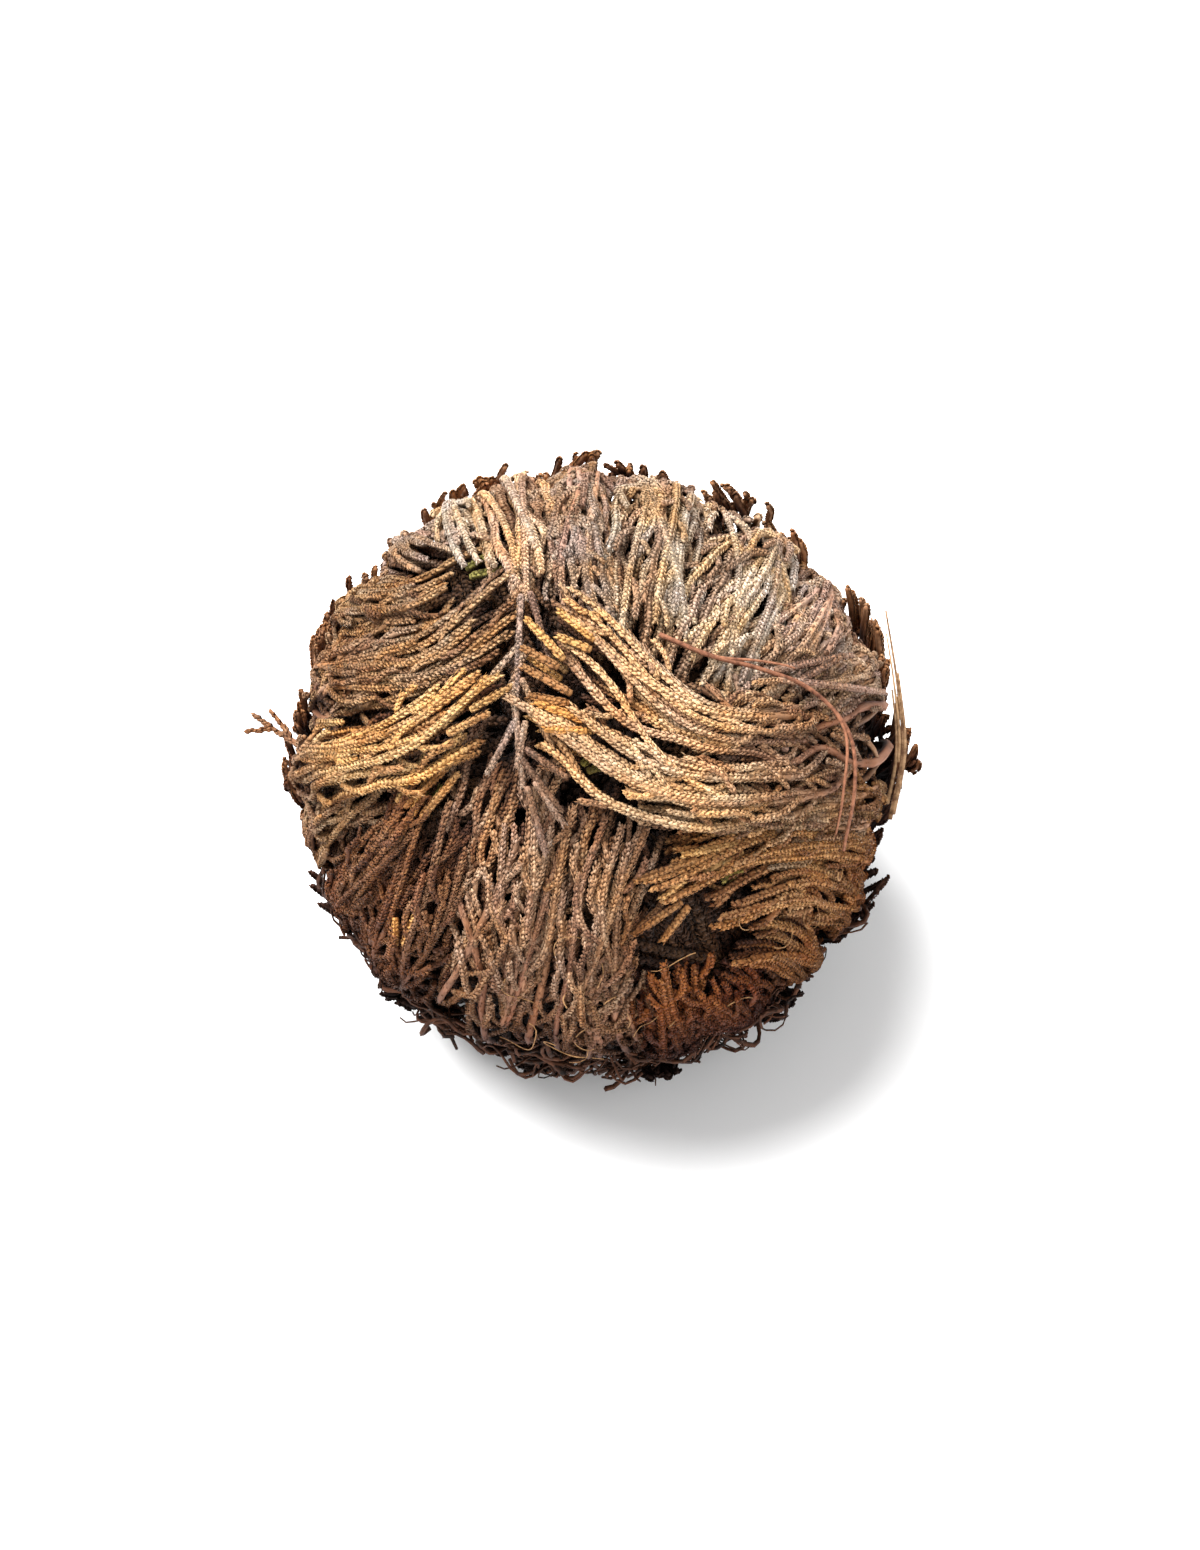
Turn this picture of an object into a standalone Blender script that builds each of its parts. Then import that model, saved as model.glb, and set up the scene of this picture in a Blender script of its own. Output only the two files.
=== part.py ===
"""Dried rose of Jericho: a resurrection plant curled up into a ball about 90 mm across.

A short root crown stands flat on the surface. Every frond leaves its side, runs out under the ball and up
round it, and opens into a fan of branches that curls in over the top. Three rings of fronds lie one inside
the other, and a fourth, shorter ring wraps the outside of the back and the underside.

The fronds close over the ball's "face", which looks up at FACE_ELEVATION towards -Y. Places on the face are
given in millimetres from its middle, x to the right and y up the slope, as seen square on.
The origin is the middle of the root crown's flat foot, with +Z up.
"""

import math
from collections import namedtuple

import bmesh
import bpy
from mathutils import Vector

MM = 0.001
WELD = 0.00001

# The ball
BALL_RADIUS = 45.0
BALL_CENTRE = Vector((-2.0, -5.0, 40.5))
FACE_ELEVATION = math.radians(55)
UNDERSIDE_GAP = 0.6  # from the surface up to the flattened underside
UNDERSIDE_SHARPNESS = 12
LUMP_HEIGHT = 0.7

# The frond sheets
SHEET_THICKNESS = 1.3
RIDGE_HEIGHT = 0.8
RIDGE_SHARE = 0.2  # of a branch's width. It keeps the thickened sheet of a narrow one from crossing itself
CUP = 1.1  # how far the edges of a fan curl in
LANE_SHARE = 0.9  # the share of a fan's width that its branches fill
CLOSING = 0.22  # how much narrower a fan is at its tips
SHORTER_SIDES, SHORTER_BRANCHES = 0.1, 0.03  # the shares by which its outer and its odd branches fall short
WAVE = 0.35  # how far the branches wander to each side, together
STEM_HALF_WIDTH = 1.3
STEM_ROW_LENGTH = 15.0
FAN_ROWS = 4
RING_DEPTH = 4.3  # from one ring of fronds to the next one in
RISE_FROM, RISE_TO = math.radians(98), math.radians(68)  # where the face fronds come up to the outside

# The root crown: a turned profile, as (radius, height)
CROWN_PROFILE = ((13.0, 0.0), (13.6, 2.5), (12.6, 7.0), (10.6, 12.0), (8.4, 17.0), (4.6, 20.5), (0.0, 21.6))
CROWN_SIDES = 18
CROWN_LUMP = 0.09

FACE_RIGHT = Vector((1, 0, 0))
FACE_UP = Vector((0, math.sin(FACE_ELEVATION), math.cos(FACE_ELEVATION)))
FACE_OUT = Vector((0, -math.cos(FACE_ELEVATION), math.sin(FACE_ELEVATION)))

# A frond that shows on the face. rim is where it comes over the edge of the face, in degrees round it from
# +x. via and tip are places on the face. lift is how far it lies over its neighbours, and look names its
# material.
FaceFrond = namedtuple("FaceFrond", "name rim via tip width lanes lift look")
FACE_FRONDS = (
    FaceFrond("top_left", 107, (-10.5, 33), (-8, 21), 10.5, 4, 0, "pale"),
    FaceFrond("top_stem", 92, (-2, 32), (0, 16), 7, 3, 0, "weathered"),
    FaceFrond("top_middle", 76, (8, 29), (6, 13), 12, 4, 0, "pale"),
    FaceFrond("top_right", 56, (19, 22), (12, 6), 14, 4, 0, "pale"),
    FaceFrond("right_high", 37, (28, 15.5), (18, 7.5), 10, 3, 0, "weathered"),
    FaceFrond("right_low", 21, (33.5, 10), (24.5, 4.5), 6.5, 2, 0, "weathered"),
    FaceFrond("upper_sweep", 11.5, (17, 5), (-7, 23.5), 4.5, 2, 4, "straw"),
    FaceFrond("right_sweep", 3.5, (13, -1.5), (-9, 11), 11, 4, 4, "straw"),
    FaceFrond("right_band", -7, (24, -6.5), (5, -5.5), 6.5, 3, 1, "weathered"),
    FaceFrond("ochre_arc", -17.5, (25, -11.5), (8, -17), 6, 2, 0, "straw"),
    FaceFrond("right_shoulder", -31, (31, -18), (16, -21.5), 7.5, 2, 0, "weathered"),
    FaceFrond("right_flank", -45, (28, -27), (18, -27), 7.5, 3, 0, "weathered"),
    FaceFrond("low_right", -61, (19, -35), (15, -30), 11, 3, 0, "umber"),
    FaceFrond("low_middle", -75, (10, -37), (9, -28), 9, 3, 0, "umber"),
    FaceFrond("bottom_fan", -89, (0, -23), (4, -7), 12, 4, 0, "weathered"),
    FaceFrond("bottom_left_fan", -110, (-13, -20), (-9, 0), 14, 4, 0, "weathered"),
    FaceFrond("left_low", -132, (-25, -20), (-19, -5), 11, 3, 0, "weathered"),
    FaceFrond("left_flank", -147, (-32, -14), (-25, -4), 8, 3, 0, "weathered"),
    FaceFrond("left_middle", -163, (-36, -5), (-27, 2), 8, 3, 0, "weathered"),
    FaceFrond("left_gold", -176, (-27, 2), (-12, 11), 8, 3, 4, "straw"),
    FaceFrond("left_sweep", 168, (-27, 15.5), (-11, 27), 11, 4, 0, "pale"),
    FaceFrond("left_high", 152, (-29, 23.5), (-17, 28), 8, 2, 0, "weathered"),
    FaceFrond("left_tuft", 135, (-27, 31), (-22, 29), 6.5, 2, 0, "weathered"),
    FaceFrond("top_edge", 120, (-20.5, 36), (-16.5, 28), 6.5, 2, 0, "pale"),
)

# The rings that follow a rule: how many fronds, the ring's depth in steps of RING_DEPTH, the angles from the
# face's middle to the tips of every other frond, their fans' width, where the first one stands round the
# face, and how far each one lies over the one before it
Ring = namedtuple("Ring", "name count depth tip_angles width lanes first fan_length lift lift_step look")
OUTER_RING = Ring("outer_frond", 13, 0, (89, 92), 20, 4, 6, 78, 1.5, 0, "dark")
MIDDLE_RING = Ring("middle_frond", 8, 2, (10, 30), 19, 3, 20, 62, 0, 0, "straw")
HEART_RING = Ring("heart_frond", 5, 3, (-12, -12), 24, 2, 50, 62, 0, -3.7, "straw")
FULL_GROWN = 80.0  # a frond shorter than this is narrower too, and a much shorter one has a branch less
SMALL_SHARE = 0.8

# Loose dry bits, along a line of places: x and y as on the face, and the height over the ball's surface, or,
# past the edge of the face, over the plane through the ball's centre
Bit = namedtuple("Bit", "name past_edge thickness look places")
LOOSE_BITS = (
    Bit(
        "twig_across", False, 1.1, "umber",
        ((9, 18, 1.6), (16, 15, 2), (23, 13, 2.6), (29, 10, 3.6), (33, 4, 4.6), (34, -4, 4.6), (35, -12, 2)),
    ),
    Bit("twig_left", True, 1.4, "dark", ((-40.5, 1, 6), (-44, 3, 4), (-47.5, 5, 2.5), (-51, 7.5, 2))),
    Bit("straw_right", True, 1.2, "straw", ((43.5, -8, 13), (45.6, 2, 9), (45, 12, 6), (43.4, 23, 4))),
)
BIT_POINTS = 9
BIT_TAPER = 0.45  # its far end, as a share of its thickness

FACE_FAN_LENGTH = 62  # of the stretch where a face frond is a fan
LEAVING_STEP = 1.5  # between the root crown's side and the first of a stem
LEAVING_HEIGHT = 1.2

PATH_SAMPLES = 72

# The materials: a name, a colour and a roughness
LOOKS = {
    "pale": ("pale_frond", (0.46, 0.34, 0.24), 0.85),
    "weathered": ("weathered_frond", (0.28, 0.17, 0.11), 0.85),
    "straw": ("straw_frond", (0.42, 0.25, 0.11), 0.8),
    "umber": ("umber_frond", (0.13, 0.055, 0.025), 0.85),
    "dark": ("dark_frond", (0.06, 0.027, 0.013), 0.9),
    "bark": ("root_bark", (0.03, 0.012, 0.006), 0.95),
}


def face_direction(x, y):
    """From the ball's centre to a place on the face."""
    right, up = x / BALL_RADIUS, y / BALL_RADIUS
    out = math.sqrt(max(0.0, 1 - right * right - up * up))
    return (FACE_RIGHT * right + FACE_UP * up + FACE_OUT * out).normalized()


def round_face(azimuth, angle):
    """The direction at an angle from the face's middle, at an azimuth round it, both in degrees."""
    a, b = math.radians(azimuth), math.radians(angle)
    across = FACE_RIGHT * math.cos(a) + FACE_UP * math.sin(a)
    return across * math.sin(b) + FACE_OUT * math.cos(b)


def smooth_step(value, start, end):
    share = min(1.0, max(0.0, (value - start) / (end - start)))
    return share * share * (3 - 2 * share)


def ball_surface(direction):
    """The ball's radius that way: round, a little lumpy, and flat underneath where it rests."""
    x, y, z = direction
    lumps = math.sin(5 * x + 1.7) + math.sin(6 * y - 0.4) + math.sin(5 * z + 7 * x * y)
    radius = BALL_RADIUS + LUMP_HEIGHT * lumps / 2
    if z >= 0:
        return radius
    to_floor = (BALL_CENTRE.z - UNDERSIDE_GAP) / -z
    power = UNDERSIDE_SHARPNESS
    return (radius**-power + to_floor**-power) ** (-1 / power)


def crown_radius(height):
    """The root crown's radius at a height, lumps included."""
    for (r0, z0), (r1, z1) in zip(CROWN_PROFILE, CROWN_PROFILE[1:]):
        if z0 <= height <= z1:
            return (r0 + (r1 - r0) * (height - z0) / (z1 - z0)) * (1 + CROWN_LUMP)
    return 0.0


class Path:
    """A line over the ball from the root crown to a frond's tip, read by its length in millimetres."""

    def __init__(self, keys):
        keys = [2 * keys[0] - keys[1], *keys, 2 * keys[-1] - keys[-2]]
        spans = len(keys) - 3
        self.directions = []
        for i in range(PATH_SAMPLES + 1):
            t = i / PATH_SAMPLES * spans
            k = min(int(t), spans - 1)
            self.directions.append(catmull_rom(keys[k : k + 4], t - k).normalized())
        self.lengths = [0.0]
        for a, b in zip(self.directions, self.directions[1:]):
            self.lengths.append(self.lengths[-1] + BALL_RADIUS * a.angle(b))
        self.length = self.lengths[-1]

    def at(self, length, sideways=0.0):
        """The direction at that length, a way off to the side of the line."""
        length = min(max(length, 0.0), self.length)
        i = next(k for k in range(1, len(self.lengths)) if self.lengths[k] >= length)
        span = self.lengths[i] - self.lengths[i - 1]
        share = (length - self.lengths[i - 1]) / span if span else 0.0
        here = self.directions[i - 1].lerp(self.directions[i], share).normalized()
        along = self.directions[i] - self.directions[i - 1]
        side = along.cross(here).normalized()
        turn = sideways / BALL_RADIUS
        return here * math.cos(turn) + side * math.sin(turn)


def catmull_rom(points, t):
    p0, p1, p2, p3 = points
    return 0.5 * (
        2 * p1 + (p2 - p0) * t + (2 * p0 - 5 * p1 + 4 * p2 - p3) * t * t + (3 * p1 - p0 - 3 * p2 + p3) * t**3
    )


def leaving_direction(turn, depth):
    """From the ball's centre to where a stem leaves the root crown, at a turn round it in radians."""
    height = UNDERSIDE_GAP + LEAVING_HEIGHT + depth
    out = crown_radius(height) + LEAVING_STEP
    place = Vector((out * math.cos(turn), out * math.sin(turn), height))
    return (place - BALL_CENTRE).normalized()


def stem_keys(turn, depth, rim):
    """The root end of a path: off the crown's side, and round under the ball to the rim."""
    start = leaving_direction(turn, depth)
    middle = (start + rim).normalized()
    return [start, (start + middle).normalized(), middle, (middle + rim).normalized(), rim]


def face_depth(direction):
    """How deep the face fronds lie: under the outer ring at the back, and outermost on the face."""
    angle = direction.angle(FACE_OUT)
    return RING_DEPTH * (1 - smooth_step(-angle, -RISE_FROM, -RISE_TO))


def inner_depth(steps):
    """The depth of a ring inside the face fronds, which follows them up to the face."""
    return lambda direction: face_depth(direction) + RING_DEPTH * (steps - 1)


def material(name, colour, roughness):
    made = bpy.data.materials.new(name)
    made.use_nodes = True
    shader = made.node_tree.nodes["Principled BSDF"]
    shader.inputs["Base Color"].default_value = (*colour, 1)
    shader.inputs["Roughness"].default_value = roughness
    shader.inputs["Metallic"].default_value = 0
    return made


def ridge_height(pitch):
    """How far a branch's middle stands over its edges."""
    return min(RIDGE_HEIGHT, RIDGE_SHARE * pitch)


def fan_half_width(share, width):
    """A fan opens quickly from its stem, and draws in a little at the tips."""
    opening = smooth_step(share, -0.1, 0.55)
    closing = 1 - CLOSING * smooth_step(share, 0.6, 1.0)
    return max(STEM_HALF_WIDTH, width / 2 * opening * closing)


def frond(name, path, depth_at, width, lanes, fan_length, lift, look):
    """One frond: a stem, and a fan that splits into branches. It is an open sheet that Solidify thickens."""
    mesh = bpy.data.meshes.new(name)
    sheet = bmesh.new()
    fan_start = max(path.length - fan_length, 0.25 * path.length)

    def corner(length, sideways, raised=0.0):
        direction = path.at(length, sideways)
        share = (length - fan_start) / (path.length - fan_start)
        edge = (sideways / (width / 2)) ** 2
        depth = depth_at(direction) + CUP * edge - lift * smooth_step(share, 0.05, 0.5)
        place = BALL_CENTRE + direction * (ball_surface(direction) - depth + raised)
        return sheet.verts.new(place * MM)

    last = None
    stem_rows = math.ceil(fan_start / STEM_ROW_LENGTH)
    for row in range(stem_rows + 1):
        length = fan_start * row / stem_rows
        pair = [corner(length, -STEM_HALF_WIDTH), corner(length, STEM_HALF_WIDTH)]
        if last:
            sheet.faces.new((last[0], pair[0], pair[1], last[1]))
        last = pair

    def lane_edges(share, lane):
        """The left edge, the ridge and the right edge of a branch, across the fan, and its ridge's height."""
        half = fan_half_width(share, width)
        pitch = 2 * half / lanes
        middle = -half + pitch * (lane + 0.5) + WAVE * math.sin(9 * share + len(name))
        reach = pitch / 2 * LANE_SHARE
        return middle - reach, middle, middle + reach, ridge_height(pitch)

    palm_share = 0.2
    palm_length = fan_start + palm_share * (path.length - fan_start)
    half = fan_half_width(palm_share, width)
    pitch = 2 * half / lanes
    palm = []
    for k in range(2 * lanes + 1):
        is_ridge = k % 2 == 1
        palm.append(corner(palm_length, -half + pitch * k / 2, ridge_height(pitch) if is_ridge else 0.0))
    middle = lanes
    for k in range(2 * lanes):
        foot = last[0] if k < middle else last[1]
        sheet.faces.new((foot, palm[k], palm[k + 1]))
    sheet.faces.new((last[0], palm[middle], last[1]))

    for lane in range(lanes):
        row_before = palm[2 * lane : 2 * lane + 3]
        off_centre = abs(lane - (lanes - 1) / 2) / lanes
        reach = 1 - SHORTER_SIDES * off_centre - SHORTER_BRANCHES * ((lane * 7 + len(name)) % 3)
        for row in range(1, FAN_ROWS):
            share = palm_share + (reach - palm_share) * row / FAN_ROWS
            length = fan_start + share * (path.length - fan_start)
            left, ridge, right, height = lane_edges(share, lane)
            now = [corner(length, left), corner(length, ridge, height), corner(length, right)]
            sheet.faces.new((row_before[0], now[0], now[1], row_before[1]))
            sheet.faces.new((row_before[1], now[1], now[2], row_before[2]))
            row_before = now
        tip = corner(fan_start + reach * (path.length - fan_start), lane_edges(reach, lane)[1])
        sheet.faces.new((row_before[0], tip, row_before[1]))
        sheet.faces.new((row_before[1], tip, row_before[2]))

    bmesh.ops.recalc_face_normals(sheet, faces=sheet.faces)
    first = sheet.faces[:][0]
    if first.normal.dot(first.calc_center_median() - BALL_CENTRE * MM) < 0:
        bmesh.ops.reverse_faces(sheet, faces=sheet.faces)
    sheet.to_mesh(mesh)
    sheet.free()
    mesh.materials.append(look)
    made = bpy.data.objects.new(name, mesh)
    thicken = made.modifiers.new("thicken", "SOLIDIFY")
    thicken.thickness = SHEET_THICKNESS * MM
    thicken.offset = -1
    return made


def face_fronds(looks):
    """The fronds that close over the face. Their stems leave the root crown evenly, in the rim's order."""
    made = []
    ordered = sorted(FACE_FRONDS, key=lambda f: stem_turn(round_face(f.rim, 90)))
    for place, shape in enumerate(ordered):
        rim = round_face(shape.rim, 90)
        turn = -math.pi + 2 * math.pi * (place + 0.5) / len(ordered)
        keys = [*stem_keys(turn, RING_DEPTH, rim), face_direction(*shape.via), face_direction(*shape.tip)]
        made.append(
            frond(
                f"face_frond_{shape.name}", Path(keys), face_depth, shape.width, shape.lanes,
                FACE_FAN_LENGTH, shape.lift, looks[shape.look],
            )
        )
    return made


def stem_turn(direction):
    """The way round the root crown in which a direction lies, in radians."""
    return math.atan2(direction.y, direction.x)


def ring_fronds(ring, looks):
    """A ring of fronds by rule, evenly spaced round the face."""
    made = []
    for k in range(ring.count):
        azimuth = ring.first + 360 * k / ring.count
        rim = round_face(azimuth, 90)
        tip = round_face(azimuth, ring.tip_angles[k % 2])
        depth = ring.depth * RING_DEPTH
        keys = stem_keys(stem_turn(rim), depth, rim)
        if ring.depth:
            depth_at = inner_depth(ring.depth)
            keys += [(rim + tip).normalized(), tip]
        else:
            depth_at = lambda direction: 0.0
            keys[-1] = tip
        path = Path(keys)
        grown = min(1.0, path.length / FULL_GROWN)
        lanes = ring.lanes if grown > SMALL_SHARE else ring.lanes - 1
        made.append(
            frond(
                f"{ring.name}_{k + 1:02d}", path, depth_at, ring.width * grown, lanes,
                ring.fan_length, ring.lift + ring.lift_step * k, looks[ring.look],
            )
        )
    return made


def root_crown(looks):
    """The stub that the fronds grow from: a spun profile, fluted unevenly, and flat underneath."""
    mesh = bpy.data.meshes.new("root_crown")
    crown = bmesh.new()
    profile = [crown.verts.new((radius * MM, 0, height * MM)) for radius, height in CROWN_PROFILE]
    profile.insert(0, crown.verts.new((0, 0, 0)))
    edges = [crown.edges.new(pair) for pair in zip(profile, profile[1:])]
    bmesh.ops.spin(
        crown, geom=[*profile, *edges], axis=(0, 0, 1), cent=(0, 0, 0), angle=2 * math.pi,
        steps=CROWN_SIDES, use_merge=True,
    )
    bmesh.ops.remove_doubles(crown, verts=crown.verts[:], dist=WELD)
    for vert in crown.verts:
        turn = math.atan2(vert.co.y, vert.co.x)
        flute = 1 + CROWN_LUMP * math.sin(5 * turn + 0.2 * vert.co.z / MM) * math.cos(2 * turn)
        vert.co.x *= flute
        vert.co.y *= flute
    bmesh.ops.recalc_face_normals(crown, faces=crown.faces[:])
    crown.to_mesh(mesh)
    crown.free()
    mesh.materials.append(looks["bark"])
    return bpy.data.objects.new("root_crown", mesh)


def loose_bit(bit, looks):
    """A dry twig or straw: a tapering tube through its places."""
    keys = []
    for x, y, height in bit.places:
        if bit.past_edge:
            keys.append(BALL_CENTRE + FACE_RIGHT * x + FACE_UP * y + FACE_OUT * height)
        else:
            direction = face_direction(x, y)
            keys.append(BALL_CENTRE + direction * (ball_surface(direction) + height))
    keys = [2 * keys[0] - keys[1], *keys, 2 * keys[-1] - keys[-2]]
    spans = len(keys) - 3
    curve = bpy.data.curves.new(bit.name, "CURVE")
    curve.dimensions = "3D"
    curve.bevel_depth = bit.thickness / 2 * MM
    curve.bevel_resolution = 2
    curve.use_fill_caps = True
    line = curve.splines.new("POLY")
    line.points.add(BIT_POINTS - 1)
    for i, point in enumerate(line.points):
        t = i / (BIT_POINTS - 1) * spans
        k = min(int(t), spans - 1)
        point.co = (*(catmull_rom(keys[k : k + 4], t - k) * MM), 1)
        point.radius = 1 - (1 - BIT_TAPER) * i / (BIT_POINTS - 1)
    curve.materials.append(looks[bit.look])
    return bpy.data.objects.new(bit.name, curve)


def main():
    for old in list(bpy.data.objects):
        bpy.data.objects.remove(old)
    plant = bpy.data.collections.new("rose_of_jericho")
    bpy.context.scene.collection.children.link(plant)
    looks = {key: material(*values) for key, values in LOOKS.items()}
    pieces = [root_crown(looks)]
    pieces += face_fronds(looks)
    pieces += ring_fronds(OUTER_RING, looks)
    pieces += ring_fronds(MIDDLE_RING, looks)
    pieces += ring_fronds(HEART_RING, looks)
    pieces += [loose_bit(bit, looks) for bit in LOOSE_BITS]
    for piece in pieces:
        plant.objects.link(piece)


main()
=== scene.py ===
"""The dried rose of Jericho as it looks: each plain frond becomes a spray of forked, scaly branches.

Lengths are in millimetres until a mesh is written. The fronds lie where the plain ones do, so the values
and formulas that place them are the plain model's own.
"""

import math
from collections import namedtuple

import bpy
import numpy as np
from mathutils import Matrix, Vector


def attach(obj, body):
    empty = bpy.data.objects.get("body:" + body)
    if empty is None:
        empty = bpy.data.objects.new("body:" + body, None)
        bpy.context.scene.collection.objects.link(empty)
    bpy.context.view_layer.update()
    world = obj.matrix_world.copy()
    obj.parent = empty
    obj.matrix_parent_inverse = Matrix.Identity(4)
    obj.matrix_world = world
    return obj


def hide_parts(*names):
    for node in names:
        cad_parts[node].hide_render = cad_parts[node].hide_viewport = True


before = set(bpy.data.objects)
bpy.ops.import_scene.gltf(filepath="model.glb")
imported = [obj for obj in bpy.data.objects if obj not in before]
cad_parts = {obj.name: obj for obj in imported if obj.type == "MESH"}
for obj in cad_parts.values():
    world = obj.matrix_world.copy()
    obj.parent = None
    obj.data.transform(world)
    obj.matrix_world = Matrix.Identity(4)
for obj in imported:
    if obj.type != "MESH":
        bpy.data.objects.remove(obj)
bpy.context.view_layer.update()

MM = 0.001
SEED = 20
BODY = "root"

# The ball, as in the plain model
BALL_RADIUS = 45.0
BALL_CENTRE = np.array([-2.0, -5.0, 40.5])
FACE_ELEVATION = math.radians(55)
UNDERSIDE_GAP = 0.6
UNDERSIDE_SHARPNESS = 12
LUMP_HEIGHT = 0.7
CUP = 1.1
CLOSING = 0.22
STEM_HALF_WIDTH = 1.3
RING_DEPTH = 4.3
RISE_FROM, RISE_TO = math.radians(98), math.radians(68)
CROWN_PROFILE = ((13.0, 0.0), (13.6, 2.5), (12.6, 7.0), (10.6, 12.0), (8.4, 17.0), (4.6, 20.5), (0.0, 21.6))
CROWN_LUMP = 0.09
FACE_RIGHT = np.array([1.0, 0.0, 0.0])
FACE_UP = np.array([0.0, math.sin(FACE_ELEVATION), math.cos(FACE_ELEVATION)])
FACE_OUT = np.array([0.0, -math.cos(FACE_ELEVATION), math.sin(FACE_ELEVATION)])

FaceFrond = namedtuple("FaceFrond", "name rim via tip width lift look")
FACE_FRONDS = (
    ("top_left", 107, (-10.5, 33), (-8, 21), 10.5, 0, "pale"),
    ("top_stem", 92, (-2, 32), (0, 16), 7, 0, "weathered"),
    ("top_middle", 76, (8, 29), (6, 13), 12, 0, "pale"),
    ("top_right", 56, (19, 22), (12, 6), 14, 0, "pale"),
    ("right_high", 37, (28, 15.5), (18, 7.5), 10, 0, "weathered"),
    ("right_low", 21, (33.5, 10), (24.5, 4.5), 6.5, 0, "weathered"),
    ("upper_sweep", 11.5, (17, 5), (-7, 23.5), 4.5, 4, "straw"),
    ("right_sweep", 3.5, (13, -1.5), (-9, 11), 11, 4, "straw"),
    ("right_band", -7, (24, -6.5), (5, -5.5), 6.5, 1, "weathered"),
    ("ochre_arc", -17.5, (25, -11.5), (8, -17), 6, 0, "straw"),
    ("right_shoulder", -31, (31, -18), (16, -21.5), 7.5, 0, "weathered"),
    ("right_flank", -45, (28, -27), (18, -27), 7.5, 0, "weathered"),
    ("low_right", -61, (19, -35), (15, -30), 11, 0, "umber"),
    ("low_middle", -75, (10, -37), (9, -28), 9, 0, "umber"),
    ("bottom_fan", -89, (0, -23), (4, -7), 12, 0, "weathered"),
    ("bottom_left_fan", -110, (-13, -20), (-9, 0), 14, 0, "weathered"),
    ("left_low", -132, (-25, -20), (-19, -5), 11, 0, "weathered"),
    ("left_flank", -147, (-32, -14), (-25, -4), 8, 0, "weathered"),
    ("left_middle", -163, (-36, -5), (-27, 2), 8, 0, "weathered"),
    ("left_gold", -176, (-27, 2), (-12, 11), 8, 4, "straw"),
    ("left_sweep", 168, (-27, 15.5), (-11, 27), 11, 0, "pale"),
    ("left_high", 152, (-29, 23.5), (-17, 28), 8, 0, "weathered"),
    ("left_tuft", 135, (-27, 31), (-22, 29), 6.5, 0, "weathered"),
    ("top_edge", 120, (-20.5, 36), (-16.5, 28), 6.5, 0, "pale"),
)
FACE_FAN_LENGTH = 62

Ring = namedtuple("Ring", "name count depth tip_angles width first fan_length lift lift_step look")
OUTER_RING = Ring("outer_frond", 13, 0, (89, 92), 20, 6, 78, 1.5, 0, "dark")
MIDDLE_RING = Ring("middle_frond", 8, 2, (10, 30), 19, 20, 62, 0, 0, "inner")
HEART_RING = Ring("heart_frond", 5, 3, (-12, -12), 24, 50, 62, 0, -3.7, "heart")
FULL_GROWN = 80.0
LEAVING_STEP = 1.5
LEAVING_HEIGHT = 1.2
PATH_SAMPLES = 72

SLOTS = {
    "pale": "pale_frond",
    "weathered": "weathered_frond",
    "straw": "straw_frond",
    "umber": "umber_frond",
    "dark": "dark_frond",
    "inner": "straw_frond",
    "heart": "straw_frond",
}

# Loose dry bits, along a line of places as in the plain model: x and y on the face, and the height over the
# ball, or, past the edge of the face, over the plane through the ball's centre
BITS = {
    "twig_across": (
        (9, 18, 1.6), (16, 15, 2), (23, 13, 2.6), (29, 10, 3.6), (33, 4, 4.6), (34, -4, 4.6), (35, -12, 2),
    ),
    "twig_left": ((-40.5, 1, 6), (-44, 3, 4), (-47.5, 5, 2.5), (-51, 7.5, 2)),
    "straw_right": ((43.5, -8, 13), (45.6, 2, 9), (45, 12, 6), (43.4, 23, 4)),
}
BITS_PAST_EDGE = ("twig_left", "straw_right")

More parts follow.
